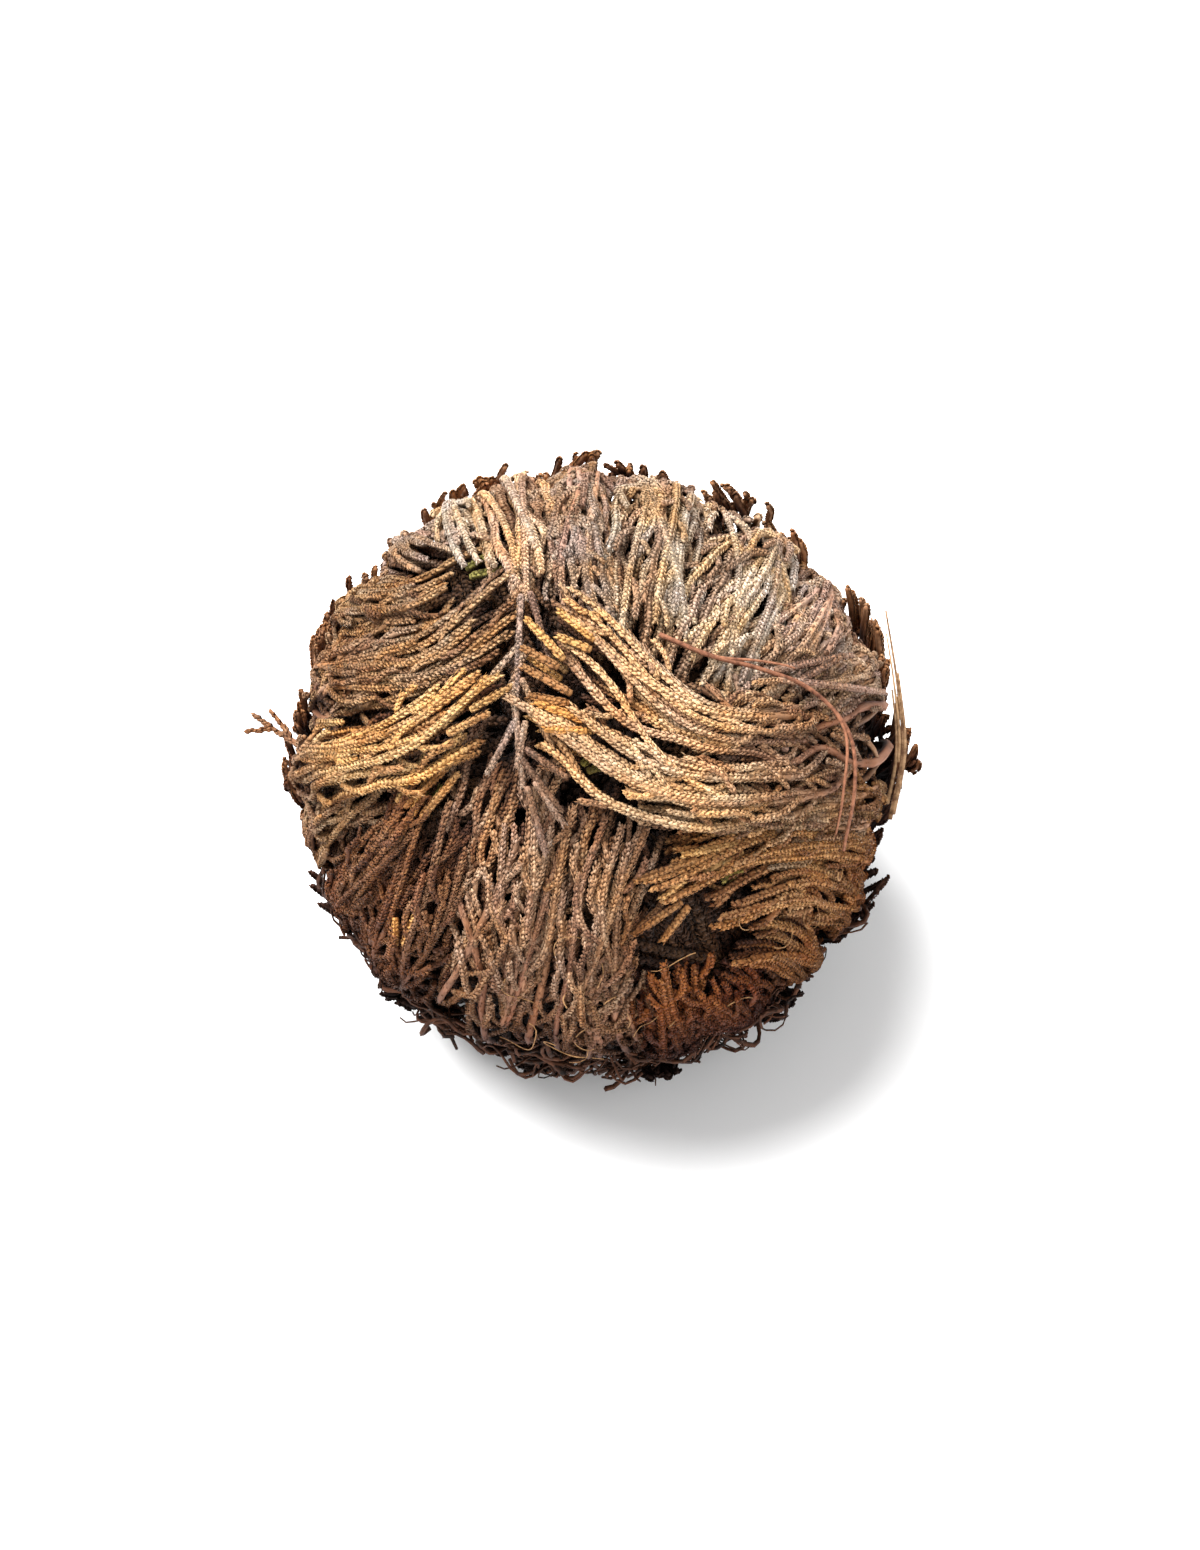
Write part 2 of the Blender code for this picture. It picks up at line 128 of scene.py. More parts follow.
# How a frond grows: the radius of its scaly cords and of its smooth stems, the width at which a branch forks,
# how far the spray spreads past the plain frond, where along the fan stems turn into cords, how many side
# shoots each 10 mm of branch has, their length off a stem, the share of them that a scaly part has too, the
# strays that lie across their neighbours, and the rows of scales with their pitch
Habit = namedtuple(
    "Habit", "radius stem room spread scaly_from scaly_to shoots shoot_length tufts strays rows pitch"
)
FINE_ROWS = ((-54, 0.0), (0, 0.5), (54, 0.0))
COARSE_ROWS = ((-48, 0.0), (0, 0.5), (48, 0.0))
HABITS = {
    "pale": Habit(0.66, 0.58, 2.5, 1.3, 0.1, 0.5, 2.8, 8, 0.45, 5, FINE_ROWS, 0.73),
    "cream": Habit(0.7, 0.6, 2.5, 1.3, 0.05, 0.4, 2.6, 8, 0.4, 5, FINE_ROWS, 0.73),
    "rosy": Habit(0.6, 0.6, 2.5, 1.3, 0.35, 0.9, 3.1, 8, 0.5, 6, FINE_ROWS, 0.7),
    "tawny": Habit(0.6, 0.58, 2.5, 1.3, 0.2, 0.65, 2.9, 8, 0.5, 6, FINE_ROWS, 0.7),
    "dusky": Habit(0.57, 0.55, 2.5, 1.3, 0.25, 0.75, 3.4, 7, 0.5, 6, FINE_ROWS, 0.68),
    "weathered": Habit(0.6, 0.6, 2.6, 1.3, 0.3, 0.85, 3.1, 8, 0.45, 6, FINE_ROWS, 0.7),
    "golden": Habit(0.66, 0.58, 3.0, 1.3, 0.1, 0.45, 2.6, 9, 0.3, 5, FINE_ROWS, 0.73),
    "ochre": Habit(0.68, 0.62, 3.0, 1.4, 0.1, 0.45, 2.4, 9, 0.35, 7, FINE_ROWS, 0.73),
    "straw": Habit(0.6, 0.58, 2.9, 1.35, 0.15, 0.5, 3.0, 9, 0.3, 5, FINE_ROWS, 0.7),
    "umber": Habit(0.66, 0.6, 3.4, 1.3, 0.2, 0.6, 3.4, 7, 0.8, 5, FINE_ROWS, 0.72),
    "dark": Habit(0.52, 0.55, 2.1, 1.4, 0.2, 0.6, 2.8, 6, 0.1, 2, COARSE_ROWS, 0.85),
    "inner": Habit(0.95, 0.8, 2.4, 1.6, 0.1, 0.35, 1.0, 8, 0.1, 1, COARSE_ROWS, 1.05),
    "heart": Habit(1.55, 1.1, 3.0, 1.7, 0.1, 0.35, 0.6, 8, 0.0, 0, COARSE_ROWS, 1.5),
}
# The face fronds whose colours and growth differ from their plain material's
FRONDS_BY_LOOK = {
    "cream": ("top_left",),
    "golden": ("left_gold",),
    "rosy": ("top_stem", "right_high", "right_low", "left_tuft"),
    "tawny": ("left_sweep", "left_high", "left_middle", "right_band"),
    "ochre": ("ochre_arc", "right_shoulder", "right_flank"),
    "dusky": ("left_low", "left_flank"),
}
OWN_LOOKS = {name: look for look, names in FRONDS_BY_LOOK.items() for name in names}
# The looks whose plain sheets stay, under the branches that lie on them, and how much higher the branches
# lie. The sheets are painted dark as the shade inside the ball.
SHEETS_KEPT = {"inner": 0.9, "heart": 0.5}
# Nearer the root than this share of the fan the scales are out of sight
SCALES_FROM = {"dark": -0.3, "inner": 0.1, "heart": 0.3}
# Fans with their own outline: where along them they open, and how wide. Some start as a narrow V.
Opening = namedtuple("Opening", "start end spread")
USUAL_OPENING = Opening(-0.2, 0.42, 1.0)
EARLY_OPENINGS = {
    "dark": Opening(-0.3, 0.3, 1.0),
    "inner": Opening(-0.9, 0.05, 1.0),
    "heart": Opening(-0.9, 0.05, 1.0),
}
OPENINGS = {
    "bottom_left_fan": Opening(0.22, 0.85, 1.35),
    "bottom_fan": Opening(0.3, 0.95, 1.25),
    "top_right": Opening(0.1, 0.7, 1.15),
    "left_tuft": Opening(0.25, 0.8, 1.25),
    "left_low": Opening(0.05, 0.7, 1.2),
    "top_stem": Opening(0.1, 0.7, 1.2),
    "low_right": Opening(-0.1, 0.6, 1.2),
    "right_shoulder": Opening(0.0, 0.7, 1.3),
}
LUMPINESS = 0.13  # how unevenly thick a branch is
KINKS = (1.4, 2.3)  # the lengths of the small bends in a branch
# How far some sprays run on past their plain fronds' tips, or stop short of them
RUN_ON = {
    "bottom_left_fan": 7,
    "bottom_fan": 5,
    "left_low": 3,
    "outer_frond_07": -3,
    "outer_frond_08": -5,
    "outer_frond_09": -5,
    "outer_frond_12": -3,
    "outer_frond_13": -5,
}
TRUNK_RADIUS = 0.95  # of the one stem that a frond starts from
STEM_ROOM = 0.8  # how much further apart branches stay while they are smooth stems
SHORT_SHOOT = 4.2  # the usual length of a shoot off a scaly part
SHORTEST_RUN = 4.5  # between two forks
EASE = 7.5  # the length in which a branch moves over after a fork
STEP = 1.1  # between the points of a branch's line
SCALE_LENGTH, SCALE_WIDTH = 1.7, 1.2  # as shares of the pitch
SCALE_BULGE, SCALE_TILT = 0.1, 0.06
# ROUNDNESS darkens a branch's sides as painted shade, as though lit from above.
ROUNDNESS = 2.1  # how much darker a branch's sides are than their height alone makes them
WANDER = 0.85  # how far a branch sways to its sides
KINK_WIDTH = 0.32
STRAYING, STRAYING_LENGTH = 1.5, 16  # how far its last stretch turns off to a side
FORKED_TIPS = 0.6  # the share of the branches whose tips fork
CORE_SHARE = 0.95  # of a branch's radius, under its scales


def unit(vectors):
    return vectors / np.linalg.norm(vectors, axis=-1, keepdims=True)


def smooth_step(value, start, end):
    share = np.clip((value - start) / (end - start), 0, 1)
    return share * share * (3 - 2 * share)


def face_direction(x, y):
    """From the ball's centre to a place on the face."""
    right, up = x / BALL_RADIUS, y / BALL_RADIUS
    out = math.sqrt(max(0.0, 1 - right * right - up * up))
    return unit(FACE_RIGHT * right + FACE_UP * up + FACE_OUT * out)


def round_face(azimuth, angle):
    """The direction at an angle from the face's middle, at an azimuth round it, both in degrees."""
    a, b = math.radians(azimuth), math.radians(angle)
    across = FACE_RIGHT * math.cos(a) + FACE_UP * math.sin(a)
    return across * math.sin(b) + FACE_OUT * math.cos(b)


def ball_surface(directions):
    """The ball's radius in each direction."""
    x, y, z = directions.T
    lumps = np.sin(5 * x + 1.7) + np.sin(6 * y - 0.4) + np.sin(5 * z + 7 * x * y)
    radius = BALL_RADIUS + LUMP_HEIGHT * lumps / 2
    to_floor = (BALL_CENTRE[2] - UNDERSIDE_GAP) / np.maximum(-z, 1e-3)
    power = UNDERSIDE_SHARPNESS
    flattened = (radius**-power + to_floor**-power) ** (-1 / power)
    return np.where(z < 0, flattened, radius)


def face_depth(directions):
    """How deep the face fronds lie: under the outer ring at the back, and outermost on the face."""
    angle = np.arccos(np.clip(directions @ FACE_OUT, -1, 1))
    return RING_DEPTH * (1 - smooth_step(-angle, -RISE_FROM, -RISE_TO))


def inner_depth(steps):
    """The depth of a ring inside the face fronds."""
    return lambda directions: face_depth(directions) + RING_DEPTH * (steps - 1)


def no_depth(directions):
    return np.zeros(len(directions))


def crown_radius(height):
    """The root crown's radius at a height, lumps included."""
    radii, heights = zip(*CROWN_PROFILE)
    return np.interp(height, heights, radii) * (1 + CROWN_LUMP)


def catmull_rom(p0, p1, p2, p3, t):
    return 0.5 * (
        2 * p1 + (p2 - p0) * t + (2 * p0 - 5 * p1 + 4 * p2 - p3) * t**2 + (3 * p1 - p0 - 3 * p2 + p3) * t**3
    )


def smooth_line(keys, count):
    """Points along a smooth line through the keys."""
    keys = np.array([2 * keys[0] - keys[1], *keys, 2 * keys[-1] - keys[-2]])
    spans = len(keys) - 3
    t = np.linspace(0, spans, count)
    k = np.minimum(t.astype(int), spans - 1)
    return catmull_rom(keys[k], keys[k + 1], keys[k + 2], keys[k + 3], (t - k)[:, None])


class Path:
    """A line over the ball from the root crown to a frond's tip, read by its length in millimetres."""

    def __init__(self, keys):
        self.directions = unit(smooth_line(keys, PATH_SAMPLES + 1))
        turns = np.arccos(np.clip((self.directions[1:] * self.directions[:-1]).sum(1), -1, 1))
        self.lengths = np.concatenate([[0], np.cumsum(turns)]) * BALL_RADIUS
        self.length = self.lengths[-1]

    def on_line(self, length):
        return unit(np.stack([np.interp(length, self.lengths, column) for column in self.directions.T], 1))

    def at(self, length, sideways):
        """The directions at those lengths, a way off to the side of the line. It runs on past its end."""
        inside = np.clip(length, 0, self.length - 0.5)
        here = self.on_line(np.clip(length, 0, self.length))
        along = unit(self.on_line(inside + 0.5) - self.on_line(np.maximum(inside - 0.5, 0)))
        along = unit(along - here * (along * here).sum(1, keepdims=True))
        past = (np.maximum(length - self.length, 0) / BALL_RADIUS)[:, None]
        here, along = here * np.cos(past) + along * np.sin(past), along * np.cos(past) - here * np.sin(past)
        side = unit(np.cross(along, here))
        turn = (sideways / BALL_RADIUS)[:, None]
        return here * np.cos(turn) + side * np.sin(turn)


class Frond:
    """A frond's sheet, read by the length along it, the way off to its side and the height over it."""

    def __init__(self, name, keys, depth_at, width, fan_length, lift, look):
        short = name.replace("face_frond_", "")
        self.name, self.slot, self.look = name, SLOTS[look], OWN_LOOKS.get(short, look)
        self.habit = HABITS[self.look]
        self.path = Path(keys)
        self.length = self.path.length
        grown = min(1.0, self.length / FULL_GROWN) if look == "dark" else 1.0
        self.width = width * grown
        self.fan_start = max(self.length - fan_length, 0.25 * self.length)
        self.opening = OPENINGS.get(short) or EARLY_OPENINGS.get(look, USUAL_OPENING)
        self.depth_at, self.lift = depth_at, lift
        self.run_on = RUN_ON.get(short, 0)
        self.scales_from = SCALES_FROM.get(self.look, 0.005)
        self.raggedness = 0.3 if look == "dark" else 0.16
        # tip_light takes painted shade off the tips of the outer ring, which are seen from inside.
        self.tip_light = 1.5 if look == "dark" else 0  # the tips of the outer ring are seen from inside

    def share(self, along):
        return (along - self.fan_start) / (self.length - self.fan_start)

    def half_width(self, along):
        share = self.share(along)
        opened = smooth_step(share, self.opening.start, self.opening.end)
        closing = 1 - CLOSING * smooth_step(share, 0.6, 1.0)
        full = self.width / 2 * self.habit.spread * self.opening.spread
        return np.maximum(STEM_HALF_WIDTH, full * opened * closing)

    def scaliness(self, along):
        return smooth_step(self.share(along), self.habit.scaly_from, self.habit.scaly_to)

    def place(self, along, across, height):
        """The points there, and the ways out of the ball."""
        out = self.path.at(along, across)
        edge = np.minimum((across / (self.width / 2)) ** 2, 1.3)
        depth = self.depth_at(out) + CUP * edge - self.lift * smooth_step(self.share(along), 0.05, 0.5)
        depth = depth - SHEETS_KEPT.get(self.look, 0)
        return BALL_CENTRE + out * (ball_surface(out) - depth + height)[:, None], out


def stem_turn(direction):
    return math.atan2(direction[1], direction[0])


def stem_keys(turn, depth, rim):
    """The root end of a path: off the crown's side, and round under the ball to the rim."""
    height = UNDERSIDE_GAP + LEAVING_HEIGHT + depth
    out = crown_radius(height) + LEAVING_STEP
    start = unit(np.array([out * math.cos(turn), out * math.sin(turn), height]) - BALL_CENTRE)
    middle = unit(start + rim)
    return [start, unit(start + middle), middle, unit(middle + rim), rim]


def face_fronds():
    """The fronds that close over the face. Their stems leave the root crown evenly, in the rim's order."""
    fronds = []
    shapes = [FaceFrond(*row) for row in FACE_FRONDS]
    ordered = sorted(shapes, key=lambda shape: stem_turn(round_face(shape.rim, 90)))
    for place, shape in enumerate(ordered):
        turn = -math.pi + 2 * math.pi * (place + 0.5) / len(ordered)
        keys = stem_keys(turn, RING_DEPTH, round_face(shape.rim, 90))
        keys += [face_direction(*shape.via), face_direction(*shape.tip)]
        fronds.append(
            Frond(
                f"face_frond_{shape.name}", keys, face_depth, shape.width, FACE_FAN_LENGTH,
                shape.lift, shape.look,
            )
        )
    return fronds


def ring_fronds(ring):
    """A ring of fronds by rule, evenly spaced round the face."""
    fronds = []
    for k in range(ring.count):
        azimuth = ring.first + 360 * k / ring.count
        rim = round_face(azimuth, 90)
        tip = round_face(azimuth, ring.tip_angles[k % 2])
        keys = stem_keys(stem_turn(rim), ring.depth * RING_DEPTH, rim)
        if ring.depth:
            depth_at = inner_depth(ring.depth)
            keys += [unit(rim + tip), tip]
        else:
            depth_at = no_depth
            keys[-1] = tip
        fronds.append(
            Frond(
                f"{ring.name}_{k + 1:02d}", keys, depth_at, ring.width, ring.fan_length,
                ring.lift + ring.lift_step * k, ring.look,
            )
        )
    return fronds


# A branch: its line on the sheet, and its radius, scaliness and tone along it
Branch = namedtuple("Branch", "along across height radius scaly tone")


def across_at(first, moves, along):
    """A branch's place across its fan, as a share of the half width: it eases over to each new place."""
    place = np.full(np.shape(along), float(first))
    before = first
    for start, target in moves:
        place = place + (target - before) * smooth_step(along, start, start + EASE)
        before = target
    return place


def wander(along, rng, height, waves=(5.0, 9.0)):
    """A slow, uneven wave along a branch."""
    total = 0
    for wave in waves:
        total = total + np.sin(along / (wave * rng.uniform(0.8, 1.3)) + rng.uniform(0, 6.3))
    return height * total / len(waves)


def main_branches(frond, rng):
    """Shares the fan's width out: each branch keeps to its own part and forks where that grows too wide."""
    habit = frond.habit
    steps = np.arange(0, frond.length, 0.5)
    width = np.maximum.accumulate(frond.half_width(steps))
    room = habit.room * (1 + STEM_ROOM * (1 - frond.scaliness(steps)))
    waiting = [(-1.0, 1.0, 0.0, 0.0)]
    found = []
    while waiting:
        low, high, first, start = waiting.pop()
        centre = (low + high) / 2
        reach = 1 - 0.1 * abs(centre) - frond.raggedness * rng.uniform(0, 1) ** 1.5
        end = frond.fan_start + reach * (frond.length + frond.run_on - frond.fan_start)
        moves = []
        fork = start
        while True:
            moves.append((fork, (low + high) / 2))
            wide = (high - low) * width > room * rng.uniform(0.85, 1.2)
            wide &= (steps > fork + SHORTEST_RUN) & (steps < end - SHORTEST_RUN)
            if not wide.any():
                break
            fork = steps[wide.argmax()]
            cut = low + (high - low) * rng.uniform(0.4, 0.6)
            here = float(across_at(first, moves, fork))
            if rng.random() < 0.5:
                waiting.append((low, cut, here, fork))
                low = cut
            else:
                waiting.append((cut, high, here, fork))
                high = cut
        found.append((first, moves, start, end))
    return found


def branches_of(frond, rng):
    """Every branch of a frond: the main ones, their side shoots, the forks at their tips, and the strays."""
    habit = frond.habit
    made = []
    for first, moves, start, end in main_branches(frond, rng):
        along = np.linspace(start, end, point_count(end - start))
        across = across_at(first, moves, along) * frond.half_width(along) + wander(along, rng, WANDER)
        across = across + wander(along, rng, KINK_WIDTH, KINKS)
        scaly = frond.scaliness(along)
        height = rng.uniform(-0.5, 0.55) + wander(along, rng, 0.6) - 0.3 * scaly
        height -= tuck(frond, along, end) * rng.uniform(0.2, 1.3)
        across = across + rng.normal(0, STRAYING) * smooth_step(along, end - STRAYING_LENGTH, end)
        tone = rng.uniform(0, 1)
        radius = thickness(habit, along, start, end, scaly, rng.uniform(0.85, 1.15))
        if start == 0:
            radius = np.maximum(radius, trunk(frond, along))
        made.append(Branch(along, across, height, radius, scaly, tone))
        made += side_shoots(frond, rng, along, across, height, tone)
        if rng.random() < FORKED_TIPS:
            made.append(tip_fork(frond, rng, along, across, height, tone))
    for k in range(habit.strays):
        made += stray(frond, rng)
    return made


def point_count(length, fewest=5):
    """How many points the line of a branch that long has."""
    return max(fewest, int(length / STEP))


def stray(frond, rng):
    """A long thin branch that lies askew over the others, with shoots of its own."""
    start = frond.fan_start + rng.uniform(0.05, 0.35) * (frond.length - frond.fan_start)
    end = frond.fan_start + rng.uniform(0.8, 1.02) * (frond.length - frond.fan_start)
    along = np.linspace(start, end, point_count(end - start))
    first, last = rng.uniform(-1.2, 1.2, 2) * frond.width / 2
    across = first + (last - first) * smooth_step(along, start, end) + wander(along, rng, 0.6)
    scaly = np.clip(frond.scaliness(along), 0, 0.9)
    height = 2.1 * smooth_step(along, start, start + 9) - 1.35 + wander(along, rng, 0.35)
    tone = rng.uniform(0.2, 1)
    radius = thickness(frond.habit, along, start, end, scaly, rng.uniform(0.7, 1.0))
    made = [Branch(along, across, height, radius, scaly, tone)]
    return made + side_shoots(frond, rng, along, across, height, tone)


def tuck(frond, along, end):
    """How far the ends of the branches turn in. The outer ring's stand off instead."""
    if frond.look == "dark":
        return -0.9 * smooth_step(along, end - 9, end)
    return 1.1 * smooth_step(along, end - 8, end)


def thickness(habit, along, start, end, scaly, share):
    """A branch's radius: that of a stem or of a scaly cord, and narrower at its two ends."""
    lumps = 1 + LUMPINESS * np.sin(7.3 * np.arange(len(along)) ** 1.3 + 50 * share)
    full = share * lumps * (habit.stem + (habit.radius - habit.stem) * scaly)
    first = 0.75 + 0.25 * smooth_step(along, start, start + 4)
    last = 1 - 0.3 * smooth_step(along, end - 3, end)
    return full * first * last


def trunk(frond, along):
    """How thick the base of a frond is, before it has forked much."""
    return TRUNK_RADIUS * (1 - 0.55 * smooth_step(frond.share(along), -0.25, 0.3))


def side_shoots(frond, rng, along, across, height, tone):
    """Scaly shoots off the sides of a branch: long where it is still a stem, and short further up."""
    habit = frond.habit
    made = []
    gap = 10 / habit.shoots
    start = max(along[0] + 2, frond.fan_start - 6)
    side = 1 if rng.random() < 0.5 else -1
    while start < along[-1] - 2.5:
        bare = frond.scaliness(start) < rng.uniform(0.35, 1.0)
        if bare or rng.random() < habit.tufts:
            usual = habit.shoot_length if bare else SHORT_SHOOT
            length = min(usual * rng.uniform(0.6, 1.5), along[-1] + 2 - start)
            line = np.linspace(start, start + length, point_count(length, 4))
            away = side * rng.uniform(1.3, 4.4 if bare else 3.0)
            away = away * smooth_step(line, start - 1.5, start + rng.uniform(3, 6) * (1.0 if bare else 0.7))
            place = np.interp(line, along, across) + away + wander(line, rng, 0.2)
            sunk = rng.uniform(-0.9, 1.1) * smooth_step(line, start, start + 3)
            level = np.interp(line, along, height) - sunk + wander(line, rng, 0.25)
            scaly = np.full(len(line), 0.85)
            radius = thickness(habit, line, start, line[-1], scaly, rng.uniform(0.7, 1.0))
            made.append(Branch(line, place, level, radius, scaly, (tone + rng.uniform(0.1, 0.5)) % 1))
        side = -side
        start += gap * rng.uniform(0.7, 1.3)
    return made


def tip_fork(frond, rng, along, across, height, tone):
    """The second prong where a branch's tip forks."""
    end = along[-1]
    start = max(end - rng.uniform(4.5, 8), along[0])
    line = np.linspace(start, end - rng.uniform(-0.5, 1.5), 6)
    side = rng.choice([-1, 1]) * rng.uniform(1.2, 1.9)
    place = np.interp(line, along, across) + side * smooth_step(line, start, end)
    level = np.interp(line, along, height) + rng.uniform(-0.5, 0.4)
    scaly = np.clip(frond.scaliness(line), 0.5, 1)
    return Branch(line, place, level, thickness(frond.habit, line, start, line[-1], scaly, 0.9), scaly, tone)


class Line:
    """A branch in space, with the ways along it, out of the ball and to its side at each point."""

    def __init__(self, points, out, radius, scaly, level):
        self.points, self.radius, self.scaly, self.level = points, radius, scaly, level
        steps = np.linalg.norm(np.diff(points, axis=0), axis=1)
        self.arcs = np.concatenate([[0], np.cumsum(steps)])
        self.length = self.arcs[-1]
        self.along = unit(np.gradient(points, axis=0))
        self.out = unit(out - self.along * (out * self.along).sum(1, keepdims=True))

    def at(self, arcs):
        """The points at those lengths along it, the frames there, and the radius, scaliness and level."""
        def read(values):
            if values.ndim == 1:
                return np.interp(arcs, self.arcs, values)
            return np.stack([np.interp(arcs, self.arcs, column) for column in values.T], 1)
        along, out = unit(read(self.along)), unit(read(self.out))
        side = np.cross(along, out)
        return read(self.points), along, out, side, read(self.radius), read(self.scaly), read(self.level)


def add_object(name, data):
    made = bpy.data.objects.new(name, data)
    bpy.context.scene.collection.objects.link(made)
    return made


class Bundle:
    """The points, triangles and looks of one piece, gathered from its many small parts."""

    def __init__(self):
        self.points, self.faces, self.looks, self.reaches, self.levels, self.count = [], [], [], [], [], 0

    def add(self, points, faces, tips, tone, scaly, reach, level):
        self.points.append(points)
        self.faces.append(faces + self.count)
        self.looks.append(np.stack([tips, np.full(len(points), tone), scaly], 1))
        self.reaches.append(reach)
        self.levels.append(level)
        self.count += len(points)

    def piece(self, name, material):
        """One mesh object of everything gathered."""
        points = np.concatenate(self.points) * MM
        faces = np.concatenate(self.faces)
        mesh = bpy.data.meshes.new(name)
        mesh.vertices.add(len(points))
        mesh.vertices.foreach_set("co", points.astype(np.float32).ravel())
        mesh.loops.add(3 * len(faces))
        mesh.loops.foreach_set("vertex_index", faces.astype(np.int32).ravel())
        mesh.polygons.add(len(faces))
        mesh.polygons.foreach_set("loop_start", np.arange(0, 3 * len(faces), 3, dtype=np.int32))
        mesh.polygons.foreach_set("loop_total", np.full(len(faces), 3, np.int32))
        mesh.polygons.foreach_set("use_smooth", np.ones(len(faces), bool))
        looks = mesh.attributes.new("look", "FLOAT_VECTOR", "POINT")
        looks.data.foreach_set("vector", np.concatenate(self.looks).astype(np.float32).ravel())
        for word, values in (("reach", self.reaches), ("level", self.levels)):
            made = mesh.attributes.new(word, "FLOAT", "POINT")
            made.data.foreach_set("value", np.concatenate(values).astype(np.float32))
        mesh.update(calc_edges=True)
        mesh.materials.append(material)
        made = add_object(name, mesh)
        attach(made, BODY)
        return made


def roundness(turns):
    """How high a branch's skin counts round it for its painted shade: 1 on top, and less down its sides."""
    return 1 - ROUNDNESS * (1 - np.cos(turns))


def add_core(bundle, line, tone, reach, sides=5, spacing=2.4, share=CORE_SHARE):
    """The closed stalk of a branch."""
    rings = max(3, int(line.length / spacing) + 1)
    arcs = np.linspace(0, line.length, rings)
    points, along, out, side, radius, scaly, level = line.at(arcs)
    turns = np.arange(sides) * 2 * math.pi / sides
    ways = out[:, None] * np.cos(turns)[None, :, None] + side[:, None] * np.sin(turns)[None, :, None]
    skin = (points[:, None] + ways * (share * radius)[:, None, None]).reshape(-1, 3)
    ends = np.stack([points[0] - along[0] * 0.3 * radius[0], points[-1] + along[-1] * 0.7 * radius[-1]])
    ring, k = np.meshgrid(np.arange(rings - 1), np.arange(sides), indexing="ij")
    a = (ring * sides + k).ravel()
    b = (ring * sides + (k + 1) % sides).ravel()
    around = np.arange(sides)
    after = (around + 1) % sides
    first, last = np.full(sides, rings * sides), np.full(sides, rings * sides + 1)
    top = (rings - 1) * sides
    corners = (
        (a, b, b + sides), (a, b + sides, a + sides),
        (after, around, first), (top + around, top + after, last),
    )
    faces = np.concatenate([np.stack(three, 1) for three in corners])
    everywhere = np.concatenate([np.repeat(scaly, sides), scaly[[0, -1]]])
    tips = 0.55 - 0.2 * everywhere
    levels = (level[:, None] + radius[:, None] * roundness(turns)[None]).ravel()
    levels = np.concatenate([levels, level[[0, -1]]])
    reaches = np.interp(np.concatenate([np.repeat(arcs, sides), [0, line.length]]), line.arcs, reach)
    bundle.add(np.concatenate([skin, ends]), faces, tips, tone, everywhere, reaches, levels)


# A scale's corners are its base, left, right and tip
SCALE = np.array([(0, 2, 1), (1, 2, 3), (0, 1, 3), (0, 3, 2)])
SCALE_TIPS = np.array([0.38, 0.5, 0.5, 0.7])


def add_scales(bundle, line, tone, reach, rows, pitch, rng, shown_from=-1.0):
    """The overlapping scale leaves of a branch, in staggered rows."""
    arcs, angles = [], []
    for angle, phase in rows:
        row = np.arange(phase * pitch - 0.4, line.length - 0.3, pitch)
        arcs.append(row)
        angles.append(np.full(len(row), math.radians(angle)))
    arcs, angles = np.concatenate(arcs), np.concatenate(angles)
    arcs = arcs + rng.uniform(-0.15, 0.15, len(arcs)) * pitch
    angles = angles + rng.uniform(-0.15, 0.15, len(arcs))
    points, along, out, side, radius, scaly, level = line.at(arcs)
    reaches = np.interp(arcs, line.arcs, reach)
    kept = (rng.uniform(0, 1, len(arcs)) > 0.75 * (1 - scaly)) & (reaches >= shown_from)
    if not kept.any():
        return
    points, along, out, side = points[kept], along[kept], out[kept], side[kept]
    angles, radius, scaly, reaches = angles[kept], radius[kept], scaly[kept], reaches[kept]
    count = len(angles)
    level = level[kept] + radius * roundness(angles)
    cos, sin = np.cos(angles)[:, None], np.sin(angles)[:, None]
    up = out * cos + side * sin
    right = side * cos - out * sin
    fullness = 0.3 + 0.7 * scaly
    grown = (pitch * rng.uniform(0.8, 1.15, count))[:, None]
    length = SCALE_LENGTH * grown
    width = SCALE_WIDTH * grown * (0.45 + 0.55 * scaly)[:, None] / 2
    flare = 1 + 0.9 * np.abs(np.sin(angles))[:, None]
    tilt = (SCALE_TILT * fullness * rng.uniform(0.5, 1.7, count))[:, None] * flare
    bulge = (SCALE_BULGE * fullness)[:, None] * pitch
    radius = radius[:, None]
    corners = [
        points + up * radius * 0.72,
        points + along * length * 0.5 + up * (radius + bulge) - right * width,
        points + along * length * 0.5 + up * (radius + bulge) + right * width,
        points + along * length + up * (radius + tilt),
    ]
    faces = (np.arange(count)[:, None, None] * 4 + SCALE[None]).reshape(-1, 3)
    tips = np.tile(SCALE_TIPS, count) * np.repeat(rng.uniform(0.7, 1.15, count), 4)
    bundle.add(
        np.stack(corners, 1).reshape(-1, 3), faces, tips, tone, np.repeat(scaly, 4),
        np.repeat(reaches, 4), np.repeat(level, 4),
    )


def spray(frond, rng, material):
    """A frond's piece: its branches, side shoots and scales."""
    bundle = Bundle()
    habit = frond.habit
    for branch in branches_of(frond, rng):
        points, out = frond.place(branch.along, branch.across, branch.height)
        near_tip = smooth_step(branch.along, frond.length - 14, frond.length - 3)
        line = Line(points, out, branch.radius, branch.scaly, branch.height + frond.tip_light * near_tip)
        reach = np.clip(frond.share(branch.along), 0, 1)
        add_core(bundle, line, branch.tone, reach)
        add_scales(bundle, line, branch.tone, reach, habit.rows, habit.pitch, rng, frond.scales_from)
    piece = bundle.piece(frond.name.replace("frond", "spray"), material)
    if frond.look not in SHEETS_KEPT:
        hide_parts(frond.name)
    return piece


STRAND_PITCH = 0.7


